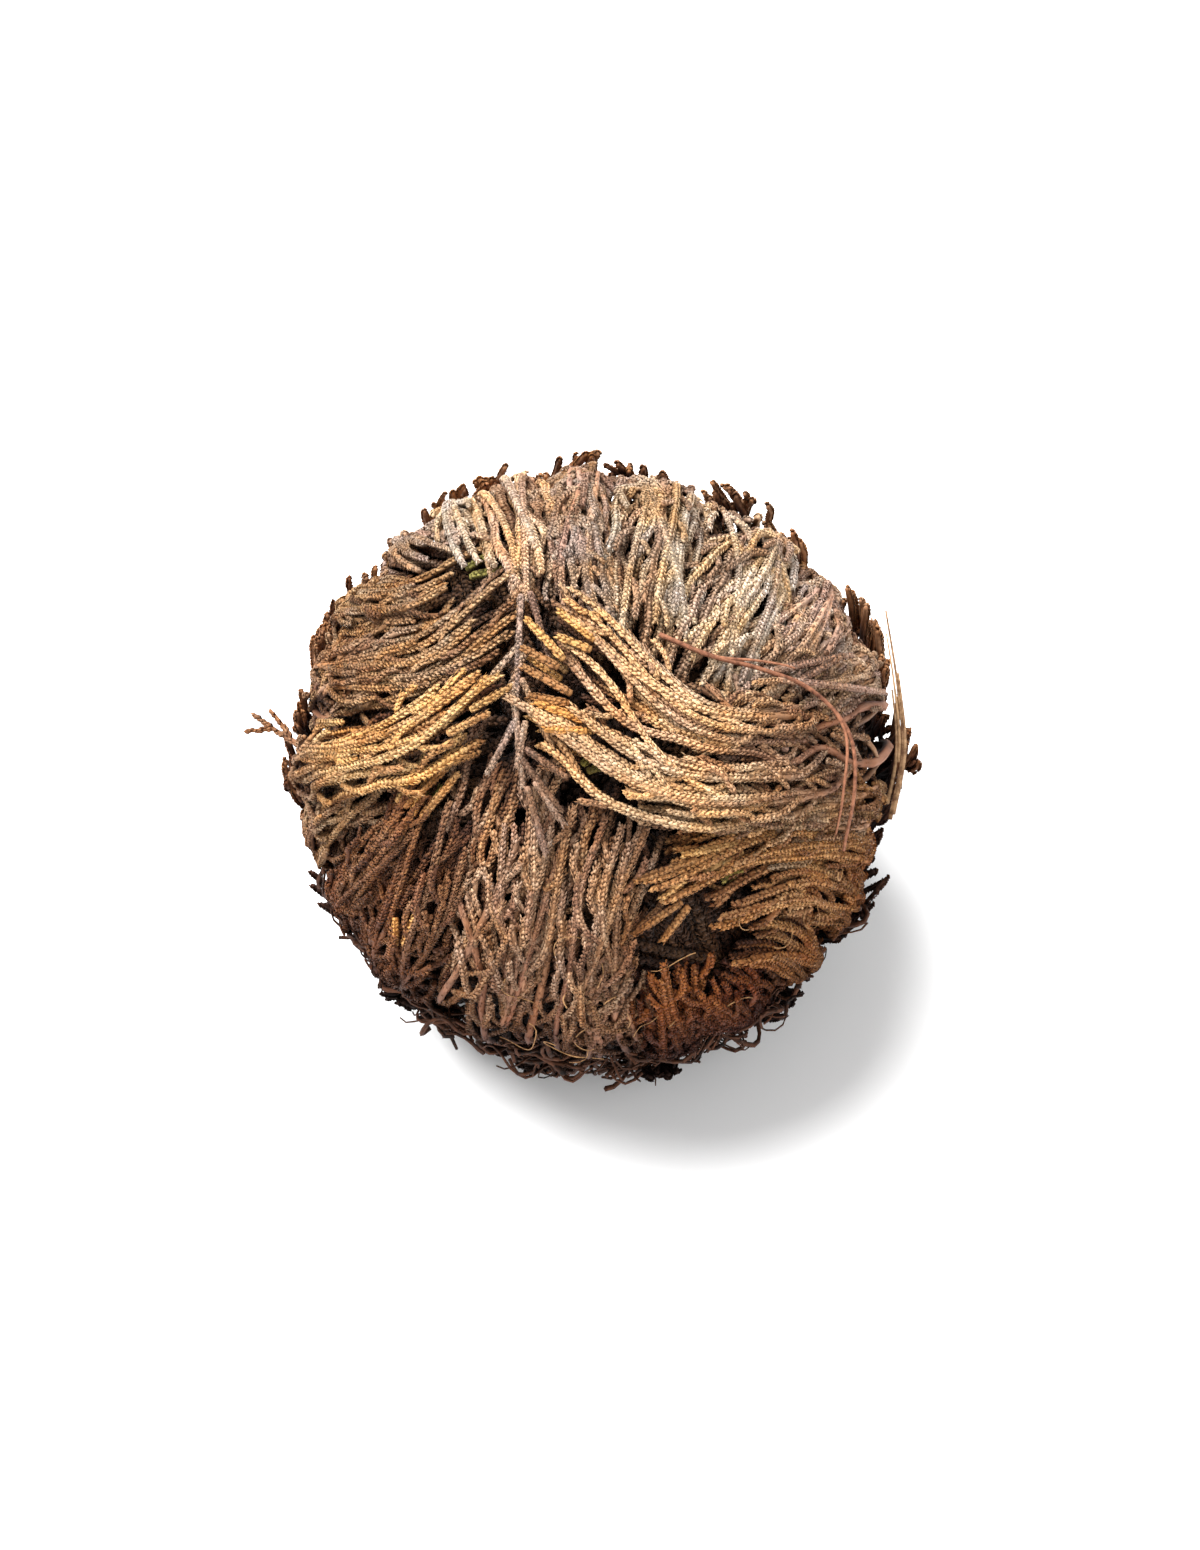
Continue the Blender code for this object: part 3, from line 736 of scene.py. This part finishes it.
def add_strand(bundle, points, out, radius, tone, scaly=0.0, sides=5, spacing=1.2, rows=None, rng=None):
    """A strand along given points, with a radius at each. It may have rows of scales."""
    count = len(points)
    line = Line(points, out, radius, np.full(count, scaly), np.zeros(count))
    reach = np.linspace(0, 1, count)
    add_core(bundle, line, tone, reach, sides, spacing, CORE_SHARE if rows else 1.0)
    if rows:
        add_scales(bundle, line, tone, reach, rows, STRAND_PITCH, rng)


def bit_line(name, count):
    """The points along a loose bit, and the ways out of the ball."""
    keys = []
    for x, y, height in BITS[name]:
        if name in BITS_PAST_EDGE:
            keys.append(BALL_CENTRE + FACE_RIGHT * x + FACE_UP * y + FACE_OUT * height)
        else:
            out = face_direction(x, y)
            keys.append(BALL_CENTRE + out * (ball_surface(out[None])[0] + height))
    points = smooth_line(keys, count)
    return points, np.tile(FACE_OUT, (count, 1))


def twig_across(material):
    """A thin reddish stalk that bends over the right of the face. It turns pale and splits at its end."""
    rng = np.random.default_rng(SEED + 101)
    bundle = Bundle()
    points, out = bit_line("twig_across", 44)
    along = np.arange(len(points)) * 1.0
    points = points + out * wander(along, rng, 0.25, (2.0, 4.0))[:, None]
    points[:, 0] += wander(along, rng, 0.3, (3.0, 5.0))
    add_strand(bundle, points, out, np.linspace(0.4, 0.24, len(points)), 0.5)
    split = points[24:].copy()
    apart = smooth_step(np.arange(len(split)), 0, 12)[:, None]
    split += (FACE_RIGHT * -1.6 + FACE_OUT * 0.3) * apart
    add_strand(bundle, split, out[24:], np.linspace(0.28, 0.16, len(split)), 0.9)
    hair = points[6:20].copy()
    apart = smooth_step(np.arange(len(hair)), 0, 14)[:, None]
    hair += (FACE_UP * 1.8 + FACE_OUT * 0.4) * apart
    add_strand(bundle, hair, out[6:20], np.linspace(0.26, 0.14, len(hair)), 0.7)
    piece = bundle.piece("across_stalk", material)
    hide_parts("twig_across")


# Forks of the left twig: where along it each starts, its length and its way, to the face's right and up
LEFT_FORKS = ((0.25, 4.5, -0.5, -0.9), (0.5, 5.0, -0.45, 0.9), (0.78, 3.0, -1.0, -0.15))


def twig_left(material):
    """A dark forked branch tip that sticks out past the ball's left edge."""
    rng = np.random.default_rng(SEED + 102)
    bundle = Bundle()
    points, out = bit_line("twig_left", 16)
    add_strand(bundle, points, out, np.linspace(0.6, 0.34, 16), 0.5, 0.6, 6, 1.0, COARSE_ROWS, rng)
    for share, length, right, up in LEFT_FORKS:
        start = points[int(share * 15)]
        way = unit(FACE_RIGHT * right + FACE_UP * up)
        steps = np.linspace(0, 1, 7)[:, None]
        bend = FACE_RIGHT * -0.9 * steps**2
        fork = start + way * length * steps + bend
        add_strand(bundle, fork, out[:7], np.linspace(0.48, 0.26, 7), 0.6, 0.6, 6, 1.0, COARSE_ROWS, rng)
    piece = bundle.piece("left_twig", material)
    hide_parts("twig_left")


# The straws at the right: how far each is shifted to the face's right, where it starts and ends along the
# line, and its thickness
STRAWS = ((0.0, 0.0, 1.0, 0.34), (0.3, 0.05, 0.72, 0.36), (-0.9, 0.1, 0.66, 0.34), (-0.5, 0.3, 0.9, 0.26))


def straws_right(material):
    """Dry straws that stand side by side at the ball's right edge."""
    bundle = Bundle()
    points, out = bit_line("straw_right", 40)
    for k, (shift, start, end, radius) in enumerate(STRAWS):
        part = slice(int(start * 39), int(end * 39) + 1)
        line = points[part] + FACE_RIGHT * shift + FACE_OUT * 0.25 * (k % 2)
        taper = np.linspace(1, 0.45, len(line)) * radius
        add_strand(bundle, line, out[part], taper, 0.25 * k)
    piece = bundle.piece("right_straws", material)
    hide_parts("straw_right")


def crawl(rng, azimuth, angle, heading, length, curl, low, high):
    """A line that wanders over the ball from a place round the face, at heights between low and high."""
    count = max(6, int(length / 0.8))
    here = round_face(azimuth, angle)
    ahead = unit(np.cross(np.cross(here, FACE_OUT), here))
    side = np.cross(here, ahead)
    way = unit(ahead * math.cos(heading) + side * math.sin(heading))
    turning, places = 0.0, []
    for _ in range(count):
        places.append(here)
        turning = 0.75 * turning + rng.normal(0, curl)
        step = length / count / BALL_RADIUS
        here, way = here * math.cos(step) + way * math.sin(step), way * math.cos(step) - here * math.sin(step)
        way = unit(way * math.cos(turning) + np.cross(here, way) * math.sin(turning))
    places = unit(np.array(places))
    along = np.linspace(0, length, count)
    level = (low + high) / 2 + wander(along, rng, (high - low) / 2, (1.5, 3.0))
    points = BALL_CENTRE + places * (ball_surface(places) + level)[:, None]
    points[:, 2] = np.maximum(points[:, 2], 0.5)
    return points, places


# A tangle of thin strands: how many there are, where round the face they start (in the middle of a spread,
# and for every few-th strand in another), how far from the face's middle, their length, how they curl, their
# lowest level and the range of their highest, their radius, what is left of it at their end, and the spacing
# of their rings
Tangle = namedtuple(
    "Tangle", "count few start other_start angle length curl low high other_high radius taper spacing"
)
FIBRES = Tangle(
    18, 3, (-95, 8), (-48, 14), (40, 74), (6, 15), 0.24, 0.3, (1.2, 2.6), (1.2, 2.6), (0.07, 0.12), 0.6, 0.8
)
ROOTLETS = Tangle(
    320, 4, (-90, 26), (-138, 13), (78, 112), (5, 13), 0.2, -1.8, (-0.6, 3.4), (-0.6, 0.6), (0.16, 0.5),
    0.5, 1.3,
)


def tangle(name, kind, material, seed):
    """The curly fibres low on the front, or the rootlets and broken bits under the front of the ball."""
    rng = np.random.default_rng(seed)
    bundle = Bundle()
    for k in range(kind.count):
        usual = k % kind.few
        points, out = crawl(
            rng, rng.normal(*(kind.start if usual else kind.other_start)), rng.uniform(*kind.angle),
            rng.uniform(0, 6.3), rng.uniform(*kind.length), kind.curl, kind.low,
            rng.uniform(*(kind.high if usual else kind.other_high)),
        )
        radius = rng.uniform(*kind.radius)
        taper = np.linspace(radius, kind.taper * radius, len(points))
        add_strand(bundle, points, out, taper, rng.random(), 0.0, 4, kind.spacing)
    piece = bundle.piece(name, material)


OLD_STEMS = 84
OLD_STEM_POINTS = 24


def old_stems(material):
    """Bare stems of older fronds, from the root crown up inside the lower half of the ball."""
    rng = np.random.default_rng(SEED + 109)
    bundle = Bundle()
    share = np.linspace(0, 1, OLD_STEM_POINTS)
    for k in range(OLD_STEMS):
        lowest, highest = math.radians(-72), math.radians(rng.uniform(0, 22))
        rise = lowest + (highest - lowest) * share
        around = 2 * math.pi * (k + rng.uniform(-0.3, 0.3)) / OLD_STEMS + rng.uniform(-0.3, 0.3) * share
        out = np.stack([np.cos(around) * np.cos(rise), np.sin(around) * np.cos(rise), np.sin(rise)], 1)
        depth = rng.uniform(6, 7.5) + wander(40 * share, rng, 0.6)
        points = BALL_CENTRE + out * (ball_surface(out) - depth)[:, None]
        add_strand(bundle, points, out, np.linspace(1.5, 0.9, OLD_STEM_POINTS), rng.random(), 0.0, 5, 3.0)
    piece = bundle.piece("old_stems", material)


# Short tips that are still olive green, deep between the fronds: face place, heading in degrees and length
GREEN_TIPS = (
    (-1, -1, 20, 4.5), (21, -14, 190, 4.5), (-27.5, 17, 30, 5), (-18.5, 28, 10, 4.5), (-24, -6, 60, 3),
)
# Golden tufts among the duller branches, in the same way
GOLD_TUFTS = (
    (-27, -6, 42, 10), (-24.5, -7.5, 50, 8), (-27.5, -26, 68, 5), (-1, 3, 155, 9), (0, 6, 160, 10),
    (-4, 13, 125, 8), (14, -13, 200, 9), (20, -11, 190, 8), (-33, -1, 30, 9), (12, -19, 215, 8),
)
# Golden tips over the ends of the two sweeps and of the golden frond
SWEEP_TIPS = (
    (-3, 9, 150, 7), (-1, 5.5, 160, 7), (-4, 13.5, 132, 7), (0, 16, 140, 6), (-16, 7, 30, 6), (-19, 4, 26, 6),
)
# The stem with side shoots that hangs over the middle, and the one that runs on to the right from the stalk
OVERLYING = (
    (-10, 23, -92, 14), (-11, 11, -84, 14), (-10.5, 6, -118, 8), (-10, 1, -52, 9), (-9, -3, -74, 9),
    (-10.5, 16, -130, 8), (25, 11.6, -6, 15), (29, 10.5, 12, 9), (26, 2, 160, 12),
)


def short_tips(name, places, height, radius, material, seed):
    """Short scaly branch tips at places on the face."""
    rng = np.random.default_rng(seed)
    bundle = Bundle()
    for x, y, heading, length in places:
        steps = np.linspace(0, length, max(5, int(length)))
        for offset, share in ((0.0, 1.0), (1.3, 0.75)):
            turn = math.radians(heading + 14 * offset)
            line_x = x + np.cos(turn) * steps * share - math.sin(turn) * offset
            line_y = y + np.sin(turn) * steps * share + math.cos(turn) * offset
            out = np.array([face_direction(a, b) for a, b in zip(line_x, line_y)])
            level = height + wander(steps, rng, 0.3)
            points = BALL_CENTRE + out * (ball_surface(out) + level)[:, None]
            taper = 1 - 0.3 * smooth_step(steps, 0.6 * length, length)
            add_strand(bundle, points, out, radius * taper, rng.random(), 0.8, 6, 1.2, FINE_ROWS, rng)
    piece = bundle.piece(name, material)


def srgb(red, green, blue):
    """A colour by its usual 0 to 255 values, as the shader wants it."""
    shares = (red / 255, green / 255, blue / 255)
    return tuple(((c + 0.055) / 1.055) ** 2.4 if c > 0.04 else c / 12.92 for c in shares)


# A frond's colours: in its clefts, of its scales, of their tips, and of its stems
Colours = namedtuple("Colours", "cleft scale tip stem")
LOOKS = {
    "cream": Colours((116, 84, 54), (216, 194, 168), (246, 234, 216), (196, 162, 138)),
    "pale": Colours((90, 62, 38), (194, 180, 160), (236, 228, 216), (180, 150, 132)),
    "rosy": Colours((76, 49, 30), (168, 148, 130), (216, 206, 192), (168, 136, 118)),
    "tawny": Colours((60, 36, 15), (148, 120, 90), (206, 186, 156), (144, 108, 82)),
    "dusky": Colours((34, 16, 6), (112, 76, 48), (168, 134, 98), (112, 74, 48)),
    "weathered": Colours((48, 26, 11), (142, 112, 86), (202, 182, 158), (144, 106, 80)),
    "straw": Colours((70, 39, 16), (186, 155, 118), (234, 214, 180), (164, 128, 102)),
    "ochre": Colours((60, 32, 11), (164, 122, 78), (220, 186, 134), (154, 106, 70)),
    "golden": Colours((84, 50, 18), (196, 158, 104), (240, 212, 160), (168, 128, 92)),
    "gold": Colours((86, 52, 20), (188, 150, 94), (230, 202, 146), (164, 122, 84)),
    "umber": Colours((24, 9, 2), (138, 82, 36), (200, 142, 80), (118, 68, 28)),
    "dark": Colours((50, 28, 15), (146, 108, 76), (196, 160, 122), (130, 94, 66)),
    # The inner and heart colours are dark as painted shade: they stand for the shadow inside the ball.
    "inner": Colours((24, 13, 7), (74, 51, 32), (112, 84, 56), (66, 43, 28)),
    "heart": Colours((16, 8, 4), (48, 31, 19), (76, 54, 35), (42, 26, 16)),
    "olive": Colours((44, 40, 14), (128, 126, 62), (176, 172, 110), (120, 112, 60)),
}
# The looks whose fans start in another look's colours
ROOTWARD_LOOKS = {"straw": "weathered", "golden": "weathered"}


class Nodes:
    """Builds a material's nodes with short calls."""

    def __init__(self, name):
        self.material = bpy.data.materials.new(name)
        self.material.use_nodes = True
        self.tree = self.material.node_tree
        self.shader = self.tree.nodes["Principled BSDF"]

    def link(self, source, target):
        self.tree.links.new(source, target)

    def new(self, kind):
        return self.tree.nodes.new(f"ShaderNode{kind}")

    def feed(self, socket, value):
        """Sets a socket to a number or a colour, or links another node's output to it."""
        if isinstance(value, (int, float)):
            socket.default_value = value
        elif isinstance(value, tuple):
            socket.default_value = (*value, 1)
        else:
            self.link(value, socket)

    def place(self):
        return self.new("TexCoord").outputs["Object"]

    def noise(self, scale, detail=3.0, roughness=0.6):
        made = self.new("TexNoise")
        made.inputs["Scale"].default_value = scale
        made.inputs["Detail"].default_value = detail
        made.inputs["Roughness"].default_value = roughness
        self.link(self.place(), made.inputs["Vector"])
        return made.outputs["Fac"]

    def math(self, kind, first, second):
        made = self.new("Math")
        made.operation = kind
        self.feed(made.inputs[0], first)
        self.feed(made.inputs[1], second)
        return made.outputs[0]

    def ramp(self, factor, stops):
        made = self.new("ValToRGB")
        elements = made.color_ramp.elements
        while len(elements) < len(stops):
            elements.new(0.5)
        for element, (place, colour) in zip(elements, stops):
            element.position = place
            element.color = (*colour, 1)
        self.link(factor, made.inputs["Fac"])
        return made.outputs["Color"]

    def mix(self, factor, first, second, kind="MIX"):
        made = self.new("Mix")
        made.data_type = "RGBA"
        made.blend_type = kind
        for number, value in ((0, factor), (6, first), (7, second)):
            self.feed(made.inputs[number], value)
        return made.outputs[2]

    def attribute(self, name):
        made = self.new("Attribute")
        made.attribute_name = name
        return made

    def parts(self, vector):
        made = self.new("SeparateXYZ")
        self.link(vector, made.inputs[0])
        return made.outputs

    def surface(self, colour, roughness, specular):
        self.feed(self.shader.inputs["Base Color"], colour)
        self.shader.inputs["Roughness"].default_value = roughness
        self.shader.inputs["Specular IOR Level"].default_value = specular

    def painted_underside_shade(self):
        """Painted shade: the plant is painted darker towards its root, where its underside lies in shadow."""
        uneven = self.math("MULTIPLY", self.noise(60, 2), 0.012)
        height = self.math("ADD", self.parts(self.place())[2], uneven)
        return self.ramp(
            self.math("MULTIPLY", height, 10.0),
            [
                (0.2, (0.05, 0.028, 0.015)), (0.35, (0.2, 0.12, 0.075)),
                (0.47, (0.78, 0.66, 0.55)), (0.58, (1.0, 1.0, 1.0)),
            ],
        )

    def deep_shade(self):
        """Dust and shade between the branches: the lower a part lies in its spray, the darker it is."""
        share = self.math("MULTIPLY", self.math("ADD", self.attribute("level").outputs["Fac"], 2.0), 1 / 3)
        return self.ramp(
            share,
            [
                (0.0, (0.06, 0.032, 0.02)), (0.35, (0.22, 0.145, 0.1)),
                (0.6, (0.68, 0.59, 0.52)), (0.76, (1.04, 1.04, 1.04)),
            ],
        )

    def bump(self, height, strength, distance):
        made = self.new("Bump")
        made.inputs["Strength"].default_value = strength
        made.inputs["Distance"].default_value = distance
        self.link(height, made.inputs["Height"])
        self.link(made.outputs["Normal"], self.shader.inputs["Normal"])


def scaly_colour(nodes, look, shade, mottle, scaly):
    """The colour of scales where a branch is scaly, and of smooth bark where it isn't."""
    cleft, scale, tip, stem = (srgb(*c) for c in LOOKS[look])
    scales = nodes.ramp(shade, [(0.08, cleft), (0.5, scale), (0.98, tip)])
    stems = nodes.ramp(mottle, [(0.3, tuple(0.55 * c for c in stem)), (0.62, stem)])
    return nodes.mix(scaly, stems, scales)


def frond_material(look):
    """Dry scaly frond: brown clefts, pale scale tips, smooth pinkish stems, and uneven weathering, darkened
    by painted shade towards the root and by dust and painted shade between the branches.
    """
    nodes = Nodes(f"{look}_scales")
    tips, tone, scaly = nodes.parts(nodes.attribute("look").outputs["Vector"])
    grain = nodes.noise(1100, 2)
    mottle = nodes.noise(260, 3)
    patches = nodes.noise(75, 2)
    shade = nodes.math("ADD", tips, nodes.math("MULTIPLY", nodes.math("SUBTRACT", grain, 0.5), 0.5))
    colour = scaly_colour(nodes, look, shade, mottle, scaly)
    if look in ROOTWARD_LOOKS:
        rootward = scaly_colour(nodes, ROOTWARD_LOOKS[look], shade, mottle, scaly)
        uneven = nodes.math("MULTIPLY", patches, 0.3)
        reach = nodes.math("ADD", nodes.attribute("reach").outputs["Fac"], uneven)
        here = nodes.ramp(reach, [(0.5, (0.0, 0.0, 0.0)), (0.68, (1.0, 1.0, 1.0))])
        colour = nodes.mix(here, rootward, colour)
    tints = nodes.ramp(
        tone,
        [
            (0.0, (0.5, 0.38, 0.3)), (0.2, (0.92, 0.76, 0.7)), (0.4, (0.94, 0.94, 0.96)),
            (0.6, (1.1, 1.07, 1.04)), (0.8, (1.06, 0.9, 0.68)), (1.0, (1.2, 1.12, 1.02)),
        ],
    )
    colour = nodes.mix(1.0, colour, tints, "MULTIPLY")
    # Painted shade: darker towards the bottom of the ball, where it lies in shadow.
    colour = nodes.mix(1.0, colour, nodes.painted_underside_shade(), "MULTIPLY")
    colour = nodes.mix(1.0, colour, nodes.deep_shade(), "MULTIPLY")
    hues = nodes.ramp(
        nodes.noise(130, 1), [(0.38, (1.05, 0.9, 0.7)), (0.5, (1.0, 1.0, 1.0)), (0.62, (0.97, 0.96, 1.04))]
    )
    colour = nodes.mix(0.8, colour, hues, "MULTIPLY")
    weather = nodes.ramp(
        patches, [(0.36, (0.74, 0.65, 0.56)), (0.52, (1.0, 1.0, 1.0)), (0.68, (1.04, 1.05, 1.06))]
    )
    colour = nodes.mix(0.85, colour, weather, "MULTIPLY")
    nodes.surface(colour, 0.82, 0.3)
    nodes.bump(grain, 0.35, 0.0002)
    return nodes.material


def streaky_material(name, dark, light, fine=900):
    """Fibre, straw or bark: two colours in uneven streaks."""
    nodes = Nodes(name)
    tone = nodes.parts(nodes.attribute("look").outputs["Vector"])[1]
    streaks = nodes.math("ADD", nodes.noise(fine, 4, 0.7), nodes.math("MULTIPLY", tone, 0.25))
    colour = nodes.ramp(streaks, [(0.4, srgb(*dark)), (0.78, srgb(*light))])
    nodes.surface(colour, 0.85, 0.25)
    nodes.bump(streaks, 0.5, 0.0003)
    return nodes.material


FLOOR_SIZE = 20.0  # metres, to each side


def plain_floor():
    """A pale floor that fills the view."""
    mesh = bpy.data.meshes.new("floor")
    corners = [(x * FLOOR_SIZE, y * FLOOR_SIZE, 0) for x, y in ((-1, -1), (1, -1), (1, 1), (-1, 1))]
    mesh.from_pydata(corners, [], [(0, 1, 2, 3)])
    floor = add_object("floor", mesh)
    paint = Nodes("floor_paint")
    paint.shader.inputs["Base Color"].default_value = (0.9, 0.9, 0.9, 1)
    paint.shader.inputs["Roughness"].default_value = 0.9
    mesh.materials.append(paint.material)


def aim(thing, way, distance, target):
    """Puts a lamp or camera that way from the target, looking at it."""
    thing.location = Vector(target) + Vector(way) * distance
    thing.rotation_euler = Vector(way).to_track_quat("Z", "Y").to_euler()


# The camera, square on to the face. The ball's middle is at this place of the 1200 by 1550 picture.
PICTURE_WIDTH, PICTURE_HEIGHT = 1200, 1550
BALL_AT = (595, 765)
PIXEL = 0.15  # mm at the ball's middle
CAMERA_DISTANCE = 0.75
SENSOR = 36.0


def set_up_camera():
    data = bpy.data.cameras.new("camera")
    camera = add_object("camera", data)
    data.sensor_fit = "HORIZONTAL"
    data.sensor_width = SENSOR
    data.lens = SENSOR * CAMERA_DISTANCE / (PICTURE_WIDTH * PIXEL * MM)
    right = (PICTURE_WIDTH / 2 - BALL_AT[0]) * PIXEL
    down = (PICTURE_HEIGHT / 2 - BALL_AT[1]) * PIXEL
    target = (BALL_CENTRE + FACE_RIGHT * right - FACE_UP * down) * MM
    aim(camera, FACE_OUT, CAMERA_DISTANCE, target)
    bpy.context.scene.camera = camera


LIGHT_DISTANCE = 1.0


def add_light(kind, name, way, power):
    """A light that shines on the ball from a direction."""
    light = bpy.data.lights.new(name, kind)
    light.energy = power
    aim(add_object(name, light), unit(np.array(way)), LIGHT_DISTANCE, BALL_CENTRE * MM)
    return light


def set_up_light():
    """A broad soft key light from over the plant's back, a soft fill from the front, and a white surround."""
    add_light("SUN", "key", (-0.45, 0.3, 1.0), 9.6).angle = math.radians(50)
    add_light("AREA", "fill", (0.6, -0.9, 0.8), 5.0).size = 1.0
    world = bpy.data.worlds.new("studio")
    world.use_nodes = True
    background = world.node_tree.nodes["Background"]
    background.inputs["Color"].default_value = (1, 1, 1, 1)
    background.inputs["Strength"].default_value = 0.6
    bpy.context.scene.world = world
    bpy.context.scene.view_settings.view_transform = "Standard"


def main():
    materials = {look: frond_material(look) for look in LOOKS}
    bark = streaky_material("root_bark_grain", (14, 7, 4), (70, 44, 28), 420)
    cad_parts["root_crown"].data.materials[0] = bark
    twig_across(streaky_material("reddish_stalk", (66, 34, 22), (150, 100, 74)))
    twig_left(materials["dark"])
    straws_right(streaky_material("dry_straw", (88, 60, 40), (170, 136, 100)))
    fibre = streaky_material("pale_fibre", (92, 60, 34), (176, 134, 90))
    tangle("curly_fibres", FIBRES, fibre, SEED + 103)
    # The rootlets and old stems are dark brown, their own colour darkened further as painted shade under and
    # inside the ball.
    rootlet = streaky_material("dark_rootlet", (14, 6, 3), (76, 42, 22))
    tangle("rootlets", ROOTLETS, rootlet, SEED + 104)
    old_stems(rootlet)
    short_tips("green_tips", GREEN_TIPS, -1.2, 0.66, materials["olive"], SEED + 105)
    short_tips("gold_tufts", GOLD_TUFTS, 0.5, 0.62, materials["gold"], SEED + 106)
    short_tips("sweep_tips", SWEEP_TIPS, 4.5, 0.6, materials["gold"], SEED + 108)
    short_tips("overlying_stems", OVERLYING, 2.4, 0.5, materials["rosy"], SEED + 107)
    fronds = face_fronds() + ring_fronds(OUTER_RING) + ring_fronds(MIDDLE_RING) + ring_fronds(HEART_RING)
    # The sheets kept under the inner rings are painted dark as the shade inside the ball.
    sheet = streaky_material("inner_sheet_painted_shade", (20, 11, 6), (92, 64, 40), 700)
    for k, frond in enumerate(fronds):
        if frond.look in SHEETS_KEPT:
            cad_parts[frond.name].data.materials[0] = sheet
        rng = np.random.default_rng(SEED + k)
        piece = spray(frond, rng, materials[frond.look])
    plain_floor()
    set_up_camera()
    set_up_light()


main()
